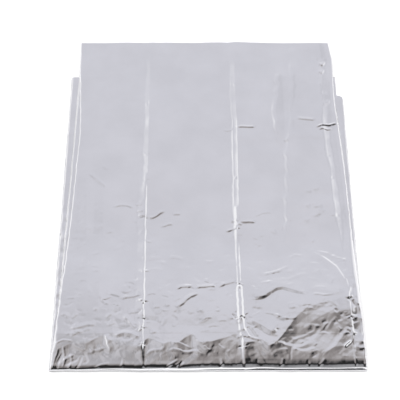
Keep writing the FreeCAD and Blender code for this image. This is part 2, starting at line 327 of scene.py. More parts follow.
# wrinkles across it: (points, height, width to the rear side, width to the front side).
# The front flank catches the dim part of the room, the rear flank the bright one.
WRINKLES = [
    # rear half
    ([(37, 106), (44, 107.5), (52, 107), (63, 107.7)], 0.75, 3.0, 1.8),
    ([(20, 103), (27, 101), (33, 104)], 0.45, 2.5, 1.8),
    ([(112, 122.8), (120, 121.5), (128, 120.5), (138, 119)], 0.62, 4.0, 2.0),
    ([(134.6, 106.7), (141, 109), (147.5, 112.9), (154, 111), (166, 118)], 1.1, 1.8, 1.9),
    ([(139, 103), (146, 106), (152, 103), (158, 107)], 0.8, 1.8, 1.8),
    ([(146, 226), (150, 220), (154, 228)], 1.0, 2.2, 2.2),
    ([(145, 212), (149, 205), (152, 214)], 0.8, 2.2, 2.2),
    ([(145, 190), (146, 178), (145, 164)], 0.35, 1.2, 1.4),
    ([(147, 154), (151, 148), (157, 157)], 0.75, 2.0, 2.2),
    # left
    ([(-145.5, 30.4), (-137, 22), (-130, 14), (-120.0, 3.9)], 0.49, 3.0, 1.8),
    ([(-128, 42), (-122, 34), (-117, 36)], 0.23, 3.0, 1.4),
    ([(-112.3, -27.6), (-107, -24), (-100, -23), (-93, -24.8), (-86.5, -29)], 0.43, 3.0, 1.6),
    ([(-86, -22), (-82, -27), (-78, -24)], 0.38, 3.0, 1.4),
    ([(-84, -33), (-80, -36), (-76, -34)], 0.49, 3.0, 1.5),
    ([(-82, -40), (-79, -43), (-75, -41)], 0.52, 3.0, 1.5),
    ([(-72, -42), (-66, -44), (-61, -41), (-56, -36), (-50.9, -33.4)], 0.64, 3.0, 1.8),
    ([(-57, -33.5), (-53, -32), (-49, -33.5)], 0.35, 3.0, 1.5),
    ([(-40.3, -38.8), (-36, -37.2), (-31.6, -38)], 0.52, 3.0, 1.8),
    ([(-55, -58), (-48, -56), (-43, -52.5), (-39.5, -54)], 0.49, 3.0, 1.8),
    ([(-74, -78), (-69, -83), (-65, -82), (-62, -77)], 0.43, 3.0, 1.9),
    ([(-66, -73), (-58, -64), (-50, -57)], 0.20, 3.0, 2.6),
    # middle
    ([(22, -66), (26, -63), (31, -62), (36, -60)], 0.75, 3.0, 1.8),
    ([(28, -48), (32, -45), (36, -49)], 0.58, 3.0, 1.6),
    ([(38, -51), (44, -51.5), (50, -51), (58, -51.5)], 0.61, 3.0, 1.8),
    ([(39, -56), (43, -58)], 0.58, 3.0, 1.5),
    ([(56, -44), (64, -37), (74, -35), (82, -37)], 0.29, 3.0, 1.9),
    ([(62, -138), (68, -133), (78, -130), (86, -126), (95, -119)], 0.52, 3.0, 3.1),
    ([(60, -150), (66, -146), (72, -147)], 0.43, 3.0, 2.1),
    ([(94, -110), (101, -103), (108, -102), (112, -105)], 0.41, 3.0, 2.4),
    # the long ones across the middle
    ([(-72, -112), (-62, -110), (-52, -107)], 0.33, 5.0, 1.9),
    ([(-46, -110), (-40, -107), (-33, -109), (-27, -112)], 0.39, 5.0, 1.8),
    ([(-72, -128), (-60, -126), (-50, -129)], 0.30, 5.0, 2.1),
    ([(-36, -158), (-30, -154), (-24, -153), (-19, -156)], 0.63, 5.0, 2.1),
    ([(-14, -156), (-8, -154), (0, -154), (6, -152), (11, -153)], 0.72, 5.0, 2.1),
    ([(10, -155), (20, -149), (34, -144)], 0.51, 5.0, 3.1),
    ([(-38, -184), (-31, -182), (-26, -176), (-20, -169), (-12, -165), (-8, -162)], 0.72, 5.0, 2.8),
    ([(-70, -166), (-62, -163), (-57, -165)], 0.36, 5.0, 1.9),
    ([(-97, -170), (-90, -169), (-84, -168), (-76, -165)], 0.57, 5.0, 2.4),
    ([(-114, -163), (-106, -165), (-99, -168), (-92, -173)], 0.51, 5.0, 2.5),
    ([(-95, -196), (-88, -204), (-80, -216)], 0.51, 5.0, 2.1),
    ([(-154.7, -213.8), (-142.5, -211.0), (-131.6, -206.8), (-124.8, -208.2)], 0.69, 5.0, 2.8),
    ([(-153, -224), (-146, -219), (-142, -216)], 0.45, 5.0, 2.5),
    ([(-105.1, -226.4), (-99.7, -222.2), (-93.1, -220.6), (-84.1, -222.2), (-75.1, -227.8)], 1.27, 5.0, 4.4),
    ([(-115.2, -222), (-112.5, -228), (-110.5, -233), (-108, -246)], 0.90, 5.0, 1.8),
    # ribbons on the right
    ([(44.8, -170.4), (61.9, -168.8), (68, -163.5), (73.6, -159.3), (79, -155), (86.3, -153.7), (94, -157), (102.0, -160.9), (116.5, -165)], 1.0, 16.0, 4.4),
    ([(117.5, -168.8), (124.5, -165.6), (131.2, -168.0), (144.9, -166.4)], 0.5, 3.0, 2.4),
    ([(112.4, -157.7), (122.6, -158.5), (133.9, -160.9), (147.4, -164.1), (157.7, -162.5)], 0.6, 12.0, 4.6),
    ([(90, -143), (98, -140), (106, -135), (116, -134)], 0.36, 4.0, 3.4),
    ([(61.3, -192.0), (70.2, -192.7), (81.3, -196.9), (90.1, -201.9)], 0.42, 2.4, 2.2),
    ([(73.6, -193.4), (82.4, -199.8), (92.4, -201.2), (101.4, -199.8)], 0.58, 2.2, 2.6),
    ([(44.2, -201.2), (50, -204), (56, -208.5), (63, -213.5), (69.4, -219.4), (78.3, -222.2)], 1.2, 20.0, 6.0),
    ([(39.5, -211.0), (42, -219), (44.8, -226.4), (52, -229.5), (60.2, -230.5)], 0.75, 2.4, 2.6),
    ([(46, -209.0), (51.8, -218.0), (57, -226), (62.4, -233.2), (68, -238)], 0.7, 9.0, 3.2),
    # folds of the bulge at the lower right
    ([(76, -205.0), (86, -196.0), (96.5, -187.5), (109.0, -183.0), (122.0, -180.5), (136.0, -176.5), (150.0, -169.0)], 0.60, 26.0, 9.0),
    ([(97.0, -226.0), (107.8, -213.6), (116.5, -205.8), (129.3, -197.0), (141.0, -189.1), (152.3, -182.8)], 0.49, 9.0, 11.0),
    ([(123.5, -255.3), (131.6, -245.5), (140.8, -238.1), (149.3, -225.0), (155.4, -215.2), (160.2, -208.0)], 0.49, 3.4, 9.0),
    ([(106.0, -225.0), (115.2, -218.0), (123.1, -214.5), (130.1, -210.3)], -0.12, 3.0, 4.0),
    ([(68.9, -238.1), (80.1, -234.4), (91.0, -238.1), (102.1, -239.3), (115.6, -231.9), (129.9, -212.4)], 0.30, 3.0, 6.0),
    ([(90.1, -233.2), (98.1, -227.8), (107.1, -225.0), (118, -219), (124, -207)], 0.27, 2.4, 3.4),
    ([(132, -217), (138, -207), (147, -197)], 0.27, 2.4, 4.0),
    ([(134, -238), (141, -228), (147, -216)], -0.12, 2.6, 3.0),
    ([(43.5, -238.1), (53.4, -240.6), (62.1, -246.7), (68.5, -254.1)], 0.32, 4.0, 4.0),
    ([(68.6, -252.8), (77.6, -244.3), (91.0, -240.6)], 0.32, 3.0, 4.0),
    ([(91, -257), (91.5, -247), (92.2, -238.1)], -0.22, 2.0, 1.6),
    ([(108.0, -257.7), (115.0, -246.7), (121.8, -244.3)], 0.12, 3.0, 3.5),
    ([(91.0, -238.1), (105.3, -241.8), (118.7, -238.1)], -0.22, 4.0, 3.0),
    # left and middle of the front face
    ([(-69.1, -249.2), (-61.5, -243.0), (-52.7, -244.3), (-46.1, -238.1)], 0.42, 2.6, 3.0),
    ([(-46.0, -245.5), (-36.1, -241.8), (-26.1, -246.7), (-14.0, -244.3), (-3.0, -251.6)], 0.48, 2.4, 3.2),
    ([(-11.8, -229.2), (-5.2, -239.3), (1.4, -245.5), (7.0, -240.6)], 0.50, 2.4, 3.0),
    ([(-0.8, -252.8), (3.6, -244.3), (9.2, -236.9)], -0.20, 2.4, 2.4),
    ([(-41.7, -233.2), (-28.4, -235.6), (-19.5, -241.8)], 0.40, 2.4, 3.0),
    ([(-150.2, -234.4), (-138.9, -240.6), (-129.8, -246.7), (-124.5, -240.6)], 0.5, 3.0, 3.0),
    ([(-146.2, -250.4), (-137.6, -246.7), (-131.8, -254.1), (-138.1, -260)], -0.45, 2.4, 2.4),
    ([(-164.4, -261), (-156.1, -251.6), (-146.4, -246.7)], 0.7, 3.0, 3.0),
    ([(-159.7, -262), (-151.5, -256.5), (-140.7, -251.6)], -0.6, 2.6, 2.6),
    ([(-132.3, -239.3), (-124.4, -244.3), (-115.7, -239.3), (-105.6, -246.7)], 0.45, 2.6, 3.0),
    ([(150.2, -239.3), (156.6, -232.9), (161.0, -230.1)], 1.5, 1.5, 2.4),
    # the strip beyond the right-hand crease
    ([(161.9, -201.2), (168, -199), (175.1, -201.2)], 0.8, 5.0, 4.0),
    ([(160.8, -218.0), (166, -226), (174, -236.1)], 0.8, 7.0, 9.0),
    ([(161.8, -238.1), (168, -241), (175.0, -240.6)], 0.7, 6.0, 3.0),
    ([(163.9, -171.9), (167, -177), (172.0, -181.2)], 0.6, 4.0, 4.0),
]
for pts, h, wr, wf in WRINKLES:
    h *= 0.78 if 66 < pts[0][0] < 140 and pts[0][1] < -185 else 1
    crease(top, jag(path(*pts), 5, 0.3, int(abs(pts[0][0]) * 10)), h, wr, wf, ends=0.22)

# upright folds at the left front corner
for p, h in (([(-172, 2), (-169, 16), (-166, 30)], 0.8), ([(-167, 1), (-165, 12), (-160, 24)], -0.7), ([(-160, 4), (-158, 16), (-161, 33)], 0.6), ([(-154, 1), (-150, 12), (-152, 22)], 0.5), ([(-146, 2), (-141, 10), (-139, 20)], -0.45), ([(-170, 34), (-163, 40), (-150, 38)], 0.6)):
    crease(top, jag(p, 4, 0.4, int(abs(p[0][0]))), h, 1.5, 2.2, ends=0.2)
# nicks over the roll's front
for p, h in (([(-46, 2), (-40, 8), (-31, 14)], 0.6), ([(-33, 2), (-30, 8), (-27, 13)], -0.5), ([(79, 3), (82, 9), (84, 16)], 0.25), ([(122, 2), (125, 8), (130, 15)], 0.3), ([(112, 3), (109, 9), (111, 14)], -0.2), ([(-96, 3), (-92, 9), (-93, 15)], 0.35), ([(12, 2), (17, 8), (14, 14)], 0.35), ([(60, 4), (53, 9), (55, 15)], -0.25), ([(-126, 3), (-116, 8), (-108, 9)], 0.4)):
    crease(top, jag(p, 4, 0.4, int(abs(p[0][0]))), h, 1.8, 2.6, ends=0.3)
# a pale curved fold leaning sideways, in front of the right-hand crease
crease(top, path((118, -97), (131, -104), (147.5, -122.6), (157.5, -146), (161, -160)), 1.1, 3.4, 9, ends=0.3)
crease(top, path((124, -96), (140, -101), (155, -112)), 0.6, 3.0, 5, ends=0.3)
# upright folds on the left, very soft
crease(top, path((-148, 60), (-143, -60), (-136, -180)), 0.55, 7, 11, ends=0.3)
crease(top, path((-124, 20), (-122, -90), (-124, -200)), 0.45, 6, 12, ends=0.3)

# small loose creases, many of them, thicker towards the front
r2 = np.random.default_rng(9)
for i in range(680):
    s = 14 + 250 * r2.random() ** 1.12
    x = r2.uniform(-166, 170)
    a = r2.normal(0, 0.5) + (math.pi / 2 if r2.random() < 0.15 else 0)
    ln = r2.uniform(4, 17)
    bow = r2.normal(0, 0.22)
    dx, ds = math.cos(a) * ln / 2, math.sin(a) * ln / 2
    pts = [(x - dx, s - ds), (x - ds * bow, s + dx * bow), (x + dx, s + ds)]
    k = float(interp([(0, 0.5), (40, 0.6), (60, 0.95), (90, 0.9), (150, 0.75), (200, 0.5), (240, 0.25), (280, 0.1)], s))
    crease(top, pts, r2.choice([-1, 1, 1]) * k * r2.uniform(0.08, 0.42), r2.uniform(2.5, 7.0), r2.uniform(1.3, 2.6), ends=0.35)

# pale patches beside the right-hand crease
step_band(top, C4, [(265, 0), (170, 0), (142, 0.6), (120, 1.0), (92, 1.05), (84, 0.75), (74, 1.1), (44, 1.05), (32, 0.7), (18, 1.15), (2, 1.2), (-6, 0.9), (-14, 1.2), (-30, 1.1), (-52, 0.9), (-80, 0.4), (-110, 0), (-264, 0)], 8.4, -60, -2.0)
for i in range(9):
    x, y = r2.uniform(118, 138), r2.uniform(-52, 6)
    ln, a = r2.uniform(8, 16), r2.normal(0.12, 0.2)
    dx, ds = math.cos(a) * ln / 2, math.sin(a) * ln / 2
    crease(top, path((x - dx, y - ds), (x, y + 1), (x + dx, y + ds)), r2.uniform(0.25, 0.4), 1.5, 9, ends=0.4)

top = blur(top, 0.42)

# the lower leaves: pressed flatter, with the same pack creases
low = np.zeros(GX.shape)
low += np.abs(facets(18, 21, 1.3)) * 0.10
low += np.abs(facets(8, 22)) * 0.05
for c in (C1, C2, C3, C4):
    crease(low, c, 0.14, 2.2, ends=0)
# where they stick out past the top leaf they stand looser
for sx in (-1, 1):
    e = np.clip(sx * GX - 163, 0, 20)
    low += (0.12 if sx < 0 else 0.3) * np.sin(e / 13 * math.pi).clip(0, 1) * (0.75 + 0.25 * np.sin(GS / 17 + sx) * np.sin(GS / 41))
    for i in range(34):
        s, x = r2.uniform(20, 430), sx * r2.uniform(165, 174)
        a, ln = r2.normal(1.3, 0.5), r2.uniform(4, 16)
        dx, ds = math.cos(a) * ln / 2, math.sin(a) * ln / 2
        crease(low, [(x - dx, s - ds), (x + dx, s + ds)], r2.uniform(0.10, 0.34), r2.uniform(1.2, 2.2), ends=0.3)
crumple = facets(5.0, 41, 0.7) * 0.32 + facets(11, 42, 0.5) * 0.40
low += (crumple + 0.5) * interp([(-30, 0), (30, 0.5), (70, 1), (200, 1), (260, 0.25), (330, 0.08), (540, 0.0)], GS) * smooth((-162 - GX) / 5)
low += (crumple + 0.5) * interp([(-30, 0), (30, 0.5), (120, 0.8), (200, 0.5), (330, 0.25), (540, 0.1)], GS) * smooth((GX - 163) / 5) * 0.7
low = np.maximum(blur(low, 0.5), 0)

# ---------------------------------------------------------------------------
# Shapes of the leaves
# ---------------------------------------------------------------------------
LEFT4 = [(-290, -174.0), (-264.9, -173.6), (-235, -171.6), (-186, -168.9), (-110, -165.4), (-16, -162.2), (60, -160.3), (100, -159.2), (156, -161.6), (208, -164.2), (265, -165.6)]
RIGHT4 = [(-290, 175.2), (-264.9, 175.2), (-235, 175.0), (-193, 174.0), (-117, 172.4), (-37, 170.6), (34, 168.6), (102, 166.0), (150, 163.6), (165, 163.2), (196, 163.6), (232, 163.9), (236, 163.6), (263, 160.6), (266, 160.3)]
LEFT3 = [(-265, -171.6), (-250, -171.4), (-36, -168.0), (188, -165.4), (205, -165.2)]
RIGHT3 = [(-265, 173.6), (-200, 173.2), (60, 169.0), (140, 165.5), (160, 161.0), (205, 160.5)]


def corner(y, edge, inner, start, radius, end):
    """An edge that steps in at start with a rounded corner; end is not used."""
    t = np.clip((y - (start - radius)) / radius, 0, 1)
    out = inner + (edge - inner) * np.sqrt(np.clip(1 - t * t, 0, 1))
    return out


def columns(n, extra):
    """Spacing across a leaf from 0 to 1, closer round the places in extra."""
    u = list(np.linspace(0, 1, n))
    for centre, half, count in extra:
        u += list(np.linspace(centre - half, centre + half, count))
    u = np.unique(np.round(np.clip(u, 0, 1), 5))
    keep = [u[0]]
    for v in u[1:]:
        if v - keep[-1] > 0.0011:
            keep.append(v)
    keep[-1] = 1.0
    return np.array(keep)


def edge_drop(t, r):
    """How far the film has curved down, t in from its edge, round a bend of radius r."""
    q = np.clip((r - t) / r, 0, 1)
    return r * (1 - np.sqrt(np.clip(1 - q * q, 0, 1)))


def film_object(name, P, thick=SKIN, fine_rows=0):
    """A closed thin sheet from a grid of points: rows along, columns across.
    fine_rows: how many rows keep every column; the rows after them keep every second one."""
    n, m, _ = P.shape
    du = np.gradient(P, axis=1)
    dv = np.gradient(P, axis=0)
    N = np.cross(du, dv)
    N /= np.maximum(np.linalg.norm(N, axis=2), 1e-9)[..., None]
    keep = np.ones((n, m), bool)
    if fine_rows:
        keep[fine_rows:, 1::2] = False
    i = np.full((n, m), -1)
    count = int(keep.sum())
    i[keep] = np.arange(count)
    verts = np.concatenate([P[keep], (P - N * thick)[keep]]) * MM
    quads, fives = [], []
    if fine_rows:
        f = i[:fine_rows]
        quads.append(np.stack([f[:-1, :-1].ravel(), f[:-1, 1:].ravel(), f[1:, 1:].ravel(), f[1:, :-1].ravel()], 1))
        u, w = i[fine_rows - 1], i[fine_rows]
        fives = np.stack([u[:-2:2], u[1:-1:2], u[2::2], w[2::2], w[:-2:2]], 1)
        f = i[fine_rows:, ::2]
    else:
        f = i
    quads.append(np.stack([f[:-1, :-1].ravel(), f[:-1, 1:].ravel(), f[1:, 1:].ravel(), f[1:, :-1].ravel()], 1))
    quads = np.concatenate(quads)
    ring = np.concatenate([i[0, :], i[1:, -1], i[-1, -2::-1], i[-2:0:-1, 0]])
    ring = ring[ring >= 0]
    nxt = np.roll(ring, -1)
    rim = np.stack([nxt, ring, ring + count, nxt + count], 1)
    groups = [(quads, True), (quads[:, ::-1] + count, True), (rim, False)]
    if len(fives):
        groups += [(fives, True), (fives[:, ::-1] + count, True)]
    loops = np.concatenate([g.ravel() for g, _ in groups])
    total = np.concatenate([np.full(len(g), g.shape[1]) for g, _ in groups])
    shade = np.concatenate([np.full(len(g), sm) for g, sm in groups])
    start = np.concatenate([[0], np.cumsum(total)[:-1]])
    mesh = bpy.data.meshes.new(name)
    mesh.vertices.add(len(verts))
    mesh.vertices.foreach_set("co", verts.astype(np.float32).ravel())
    mesh.loops.add(len(loops))
    mesh.loops.foreach_set("vertex_index", loops.astype(np.int32))
    mesh.polygons.add(len(total))
    mesh.polygons.foreach_set("loop_start", start.astype(np.int32))
    mesh.polygons.foreach_set("loop_total", total.astype(np.int32))
    mesh.update(calc_edges=True)
    mesh.polygons.foreach_set("use_smooth", shade)
    mesh.validate()
    ob = bpy.data.objects.new(name, mesh)
    bpy.context.scene.collection.objects.link(ob)
    return ob


def leaf4_layer(name, k, n_cols, row_step):
    """Film layer of the top leaf with its part of the roll; k counts in from the outside."""
    depth = k * PITCH
    rows = [0]
    for j in range(1, len(prof)):
        want = row_step * float(interp([(-30, 0.5), (10, 0.5), (14, 0.75), (125, 0.8), (200, 1.1), (410, 1.3), (430, 2.0), (540, 2.0)], S_prof[j]))
        if S_prof[j] - S_prof[rows[-1]] >= want * 0.98 or j == len(prof) - 1:
            rows.append(j)
    rows = np.array(rows)
    yb, zb, S = prof[rows, 0], prof[rows, 1], S_prof[rows]
    back = k * 1.1
    yb = np.where(yb > 520, yb - back * (yb - 520) / 10, yb)
    y = FRONT + yb
    xl, xr = interp(LEFT4, y), interp(RIGHT4, y)
    skew = interp([(-30, 1.0), (25, 1.0), (120, 0.0), (540, 0.0)], S)[:, None]
    # a little drift of each layer's edge
    xl = xl + 0.20 * k + 0.5 * np.sin(y / 31 + 2 * k) * 0.35 + 0.3 * np.sin(y / 9.3 + k) * 0.3
    xr = xr - 0.20 * k + 0.5 * np.sin(y / 37 + 1 + 2 * k) * 0.35
    u = columns(n_cols, [((C + 170) / 345, 0.014, 24) for C in (-74, 36)] + [(0.0, 0.014, 14), (1.0, 0.014, 14), (0.963, 0.018, 18)])
    fine = int(np.searchsorted(S, 128)) if k == 0 else 0
    if fine and len(u) % 2 == 0:
        u = np.delete(u, len(u) // 3)
    X = xl[:, None] + (xr - xl)[:, None] * u[None, :]
    Sg = np.repeat(S[:, None], len(u), 1)
    h = sample(top, X, Sg)
    # the edges turn down
    r = interp([(-30, 0.9), (-2, 0.9), (4, 1.6), (14, 2.4), (70, 2.3), (140, 1.8), (230, 1.4), (330, 1.0), (540, 0.85)], S)[:, None] - depth * 0.9
    ragged = 0.62 + 0.38 * np.sin(S / 3.7 + 1.3 * np.sin(S / 17)) * np.sin(S / 11 + 2) + 0.25 * np.sin(S / 29 + k)
    r = np.maximum(r * ragged[:, None], 0.3)
    drop = edge_drop(X - xl[:, None], r) + edge_drop(xr[:, None] - X, r)
    # keep crinkles small right at the edges
    calm = smooth(np.minimum(X - xl[:, None], xr[:, None] - X) / 5.0 + 0.25)
    h = h * calm
    off = h - depth - drop
    Nn = N_prof[rows]
    # the roll is low at its left end and stands taller towards the right; the foremost line wanders a little
    wander = 0.35 * np.sin(X / 23.0) + 0.25 * np.sin(X / 8.7 + 1)
    near = interp([(-175, 0.46), (-150, 0.50), (-110, 0.66), (-70, 0.84), (-20, 0.97), (36, 1.0), (90, 1.0), (150, 1.0), (176, 0.97)], X)
    far = interp([(-175, 0.66), (-120, 0.76), (-60, 0.90), (0, 0.97), (60, 0.92), (100, 0.86), (176, 0.86)], X)
    ring = near + (far - near) * smooth((yb - 4) / 44)[:, None]
    tall = ring + (1 - ring) * smooth((yb - 45) / 150)[:, None]
    Y = y[:, None] + Nn[:, 0][:, None] * off + (wander + 0.7) * skew
    Z = zb[:, None] + Nn[:, 1][:, None] * off
    Z = np.where(Z > 2.5, 2.5 + (Z - 2.5) * tall, Z)
    # the free rear end waves a little
    Z = Z + (0.55 * np.sin(X / 21 + 0.6) + 0.5 * np.sin(X / 47 + 2.1) + 0.25 * np.sin(X / 9.5)) * smooth((yb - 455) / 75)[:, None]
    # but never sags below the level of the rear fold's hinge, so that it clears the bottom leaf when folded out
    least = 4.82 + SKIN + (3 - k) * PITCH * 1.2
    d = Z - least
    Z = np.where((y > 185)[:, None], Z + (least + 0.5 * (d + np.sqrt(d * d + 0.06)) - Z) * smooth((y - 185) / 15)[:, None], Z)
    # the part tucked under the roll stays clear of the leaf below it
    under = S < 0
    Z[under] = np.maximum(Z[under], 2.52 + depth)
    P = np.stack([X, Y, Z], 2)[:, ::1]
    return film_object(name, P, fine_rows=fine)


def flat_layer(name, n, k, n_cols, row_mm, z0, xl_f, xr_f, y0, y1, front=None, rear=None):
    """Film layer of a lower leaf; k counts up from the leaf's underside."""
    z = z0 + k * PITCH + SKIN
    ys = np.arange(y0, y1, row_mm)
    extra = [y1 - 9 * (1 - math.cos(t)) for t in np.linspace(0, math.pi / 2, 9)] + [169 + e for e in (-9, -8, -6, -4, -2.5, -1.5, -0.7, 0, 0.4, 1.5)]
    ys = np.unique(np.round(np.concatenate([ys, [e for e in extra if y0 < e < y1], [y0, y1]]), 2))
    ys = ys[np.concatenate([[True], np.diff(ys) > 0.25])]
    ys[-1] = y1
    xl, xr = xl_f(ys), xr_f(ys)
    u = columns(n_cols, [(0.0, 0.035, 16), (1.0, 0.035, 16)] + [((C + 174) / 348, 0.010, 9) for C in (-74, 36)])
    X = xl[:, None] + (xr - xl)[:, None] * u[None, :]
    Yg = np.repeat(ys[:, None], len(u), 1)
    Z = z + sample(low, X, Yg - FRONT)
    r = 0.35
    Z -= edge_drop(X - xl[:, None], r) * 0.5 + edge_drop(xr[:, None] - X, r) * 0.5
    Z = np.maximum(Z, SKIN + 0.02)
    return X, Yg, Z


# ---------------------------------------------------------------------------
# Material
# ---------------------------------------------------------------------------
def film_material(name, tint, rough, seed):
    m = bpy.data.materials.new(name)
    m.use_nodes = True
    nt = m.node_tree
    nt.nodes.clear()
    N, L = nt.nodes.new, nt.links.new
    out = N("ShaderNodeOutputMaterial")
    bsdf = N("ShaderNodeBsdfPrincipled")
    L(bsdf.outputs[0], out.inputs[0])
    bsdf.inputs["Metallic"].default_value = 1.0
    tc = N("ShaderNodeTexCoord")
    mp = N("ShaderNodeMapping")
    mp.inputs["Location"].default_value = (seed, seed * 0.37, 0)
    L(tc.outputs["Object"], mp.inputs["Vector"])
    # slow cloudiness of the metal coating
    n1 = N("ShaderNodeTexNoise")
    n1.inputs["Scale"].default_value = 22
    n1.inputs["Detail"].default_value = 3
    L(mp.outputs[0], n1.inputs["Vector"])
    ramp = N("ShaderNodeValToRGB")
    lo, hi = [c * 0.965 for c in tint], [min(1, c * 1.02) for c in tint]
    ramp.color_ramp.elements[0].position = 0.35
    ramp.color_ramp.elements[0].color = (*lo, 1)
    ramp.color_ramp.elements[1].position = 0.68
    ramp.color_ramp.elements[1].color = (*hi, 1)
    L(n1.outputs["Fac"], ramp.inputs["Fac"])
    L(ramp.outputs["Color"], bsdf.inputs["Base Color"])
    # handling marks change how sharp the reflection is
    n2 = N("ShaderNodeTexNoise")
    n2.inputs["Scale"].default_value = 60
    n2.inputs["Detail"].default_value = 4
    L(mp.outputs[0], n2.inputs["Vector"])
    mr = N("ShaderNodeMapRange")
    mr.inputs["From Min"].default_value = 0.3
    mr.inputs["From Max"].default_value = 0.7
    mr.inputs["To Min"].default_value = rough * 0.8
    mr.inputs["To Max"].default_value = rough * 1.25
    L(n2.outputs["Fac"], mr.inputs["Value"])
    L(mr.outputs["Result"], bsdf.inputs["Roughness"])
    # micro-wrinkles of the film, and finer grain on top
    n3 = N("ShaderNodeTexNoise")
    n3.inputs["Scale"].default_value = 180
    n3.inputs["Detail"].default_value = 2
    L(mp.outputs[0], n3.inputs["Vector"])
    b1 = N("ShaderNodeBump")
    b1.inputs["Strength"].default_value = 0.10
    b1.inputs["Distance"].default_value = 0.0004
    L(n3.outputs["Fac"], b1.inputs["Height"])
    vo = N("ShaderNodeTexVoronoi")
    vo.feature = "DISTANCE_TO_EDGE"
    vo.inputs["Scale"].default_value = 95
    L(mp.outputs[0], vo.inputs["Vector"])
    b2 = N("ShaderNodeBump")
    b2.inputs["Strength"].default_value = 0.05
    b2.inputs["Distance"].default_value = 0.0006
    L(vo.outputs["Distance"], b2.inputs["Height"])
    L(b1.outputs["Normal"], b2.inputs["Normal"])
    L(b2.outputs["Normal"], bsdf.inputs["Normal"])
    return m


film_top = film_material("film_top", (0.83, 0.83, 0.845), 0.075, 0.0)
film_low = film_material("film_low", (0.82, 0.82, 0.835), 0.14, 3.1)

# ---------------------------------------------------------------------------
# Pieces
# ---------------------------------------------------------------------------
made = []


def finish_piece(ob, mat, nodes, body=None, blend=None):
    ob.data.materials.append(mat)
    if blend:
        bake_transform(ob)
    else:
        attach(ob, body)
    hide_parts(*nodes)
    made.append(ob)


# top leaf: d outermost, a innermost
roll_blend = (("leaf_3", "leaf_4_top"), (0, -0.2600, 0.0026), (0, -0.25902, 0.01362))
spec = {
    "d": (0, 500, 1.0, ["film_4d", "side_fold_4cd"]),
    "c": (1, 120, 1.8, ["film_4c", "side_fold_4bc"]),
    "b": (2, 120, 1.8, ["film_4b", "side_fold_4ab"]),
    "a": (3, 140, 1.5, ["film_4a"]),
}
for key, (k, cols, step, nodes) in spec.items():
    ob = leaf4_layer("top_leaf_film_" + key, k, cols, step)
    finish_piece(ob, film_top, nodes, blend=roll_blend)

Z = {1: 0.0, 2: 1.3, 3: 2.5}


def wav(y, a, b, amp):
    return amp * (np.sin(y / a + b) * 0.6 + np.sin(y / (a * 0.31) + 2 * b) * 0.4)


def bend(X, Y, Z, y_tip, into, z_from, z_to, rows=9, square=1.0):
    """Rows of points for a bend that joins a sheet's end to another height; square < 1 blunts it."""
    out = []
    zc, r = (z_from + z_to) / 2, abs(z_to - z_from) / 2
    s = 1 if z_to > z_from else -1
    for t in np.linspace(0, math.pi, rows)[1:]:
        c = math.copysign(abs(math.cos(t)) ** square, math.cos(t))
        y = y_tip + into * r * (1 - max(0.0, math.sin(t)) ** square)
        out.append((X, np.full_like(X, y), zc - s * r * c + (Z - z_from)))
    return out


for n in (3, 2, 1):
    for k in range(4):
        key = "abcd"[k]
        if n == 3:
            xl_f = lambda y, k=k: interp(LEFT3, y) + 0.5 * k + wav(y, 33, k, 0.25)
            xr_f = lambda y, k=k: interp(RIGHT3, y) - 0.5 * k + wav(y, 29, k + 1, 0.25)
            y0, y1 = FRONT + 7.0, LOWER_REAR - (3 - k) * 0.0 - 1.2
        else:
            el = -175.3 if n == 1 else -173.6
            er = 175.3 if n == 1 else 174.3
            inset = 0.75 * (k if n == 1 else 3 - k) * 0.9
            xl_f = lambda y, el=el, i=inset, k=k: corner(y, el + i, el + 4 + i, LOWER_REAR + 0.6, 4.0, 0) + wav(y, 27, k + 3, 0.3)
            xr_f = lambda y, er=er, i=inset, k=k: np.where(y < 169, corner(y, er - i, 166.6, 169.0, 6.0, 0), 166.6) + wav(y, 25, k + 5, 0.3)
            y0, y1 = FRONT + 2.6, LOWER_REAR - 1.2 - 0.4 * k
        X, Y, Zg = flat_layer(f"leaf_{n}_film_{key}", n, k, 90, 3.2, Z[n], xl_f, xr_f, y0, y1)
        nodes = ["film_%d%s" % (n, key)]
        if k < 3:
            nodes.append("side_fold_%d%s" % (n, "abcd"[k : k + 2]))
        blend = None
        if n == 3 and k == 3:
            # the outermost film of the rear fold: down round the back to the second leaf
            z_a, z_b = Z[3] + 3 * PITCH + SKIN, Z[2] + SKIN
            rows = bend(X[-1], Y[-1], Zg[-1], LOWER_REAR, -1, z_a, z_b, 11)
            X = np.concatenate([X, np.array([r[0] for r in rows])])
            Y = np.concatenate([Y, np.array([r[1] for r in rows])])
            Zg = np.concatenate([Zg, np.array([r[2] for r in rows])])
            nodes += ["rear_fold_upper", "rear_fold_lower"]
            blend = (("leaf_2", "leaf_3"), (0, 0.2, 0.0015), (0, 0.2, 0.0031))
        if n == 1 and k == 0:
            # the outermost film of the front fold: up round the front to the second leaf
            z_a, z_b = Z[1] + SKIN, Z[2] + 3 * PITCH + SKIN
            flat_row = np.minimum(Zg[0], z_a + 0.25)
            rows = bend(X[0], Y[0], flat_row, FRONT + 1.2, 1, z_a, z_b, 17, 0.45)[::-1]
            rows += [(X[i], Y[i], np.minimum(Zg[i], z_a + 0.25) - 0.03) for i in (0, 1, 2)]
            fold = film_object("front_fold_film", np.stack([np.array([r[c] for r in rows]) for c in range(3)], 2))
            finish_piece(fold, film_low, ["front_fold_lower", "front_fold_upper"], body="leaf_1_bottom", blend=(("leaf_1_bottom", "leaf_2"), (0, -0.26, 0.0005), (0, -0.26, 0.0018)))
        ob = film_object(f"leaf_{n}_film_{key}", np.stack([X, Y, Zg], 2))
        body = {1: "leaf_1_bottom", 2: "leaf_2", 3: "leaf_3"}[n]
        finish_piece(ob, film_low, nodes, body=body, blend=blend)

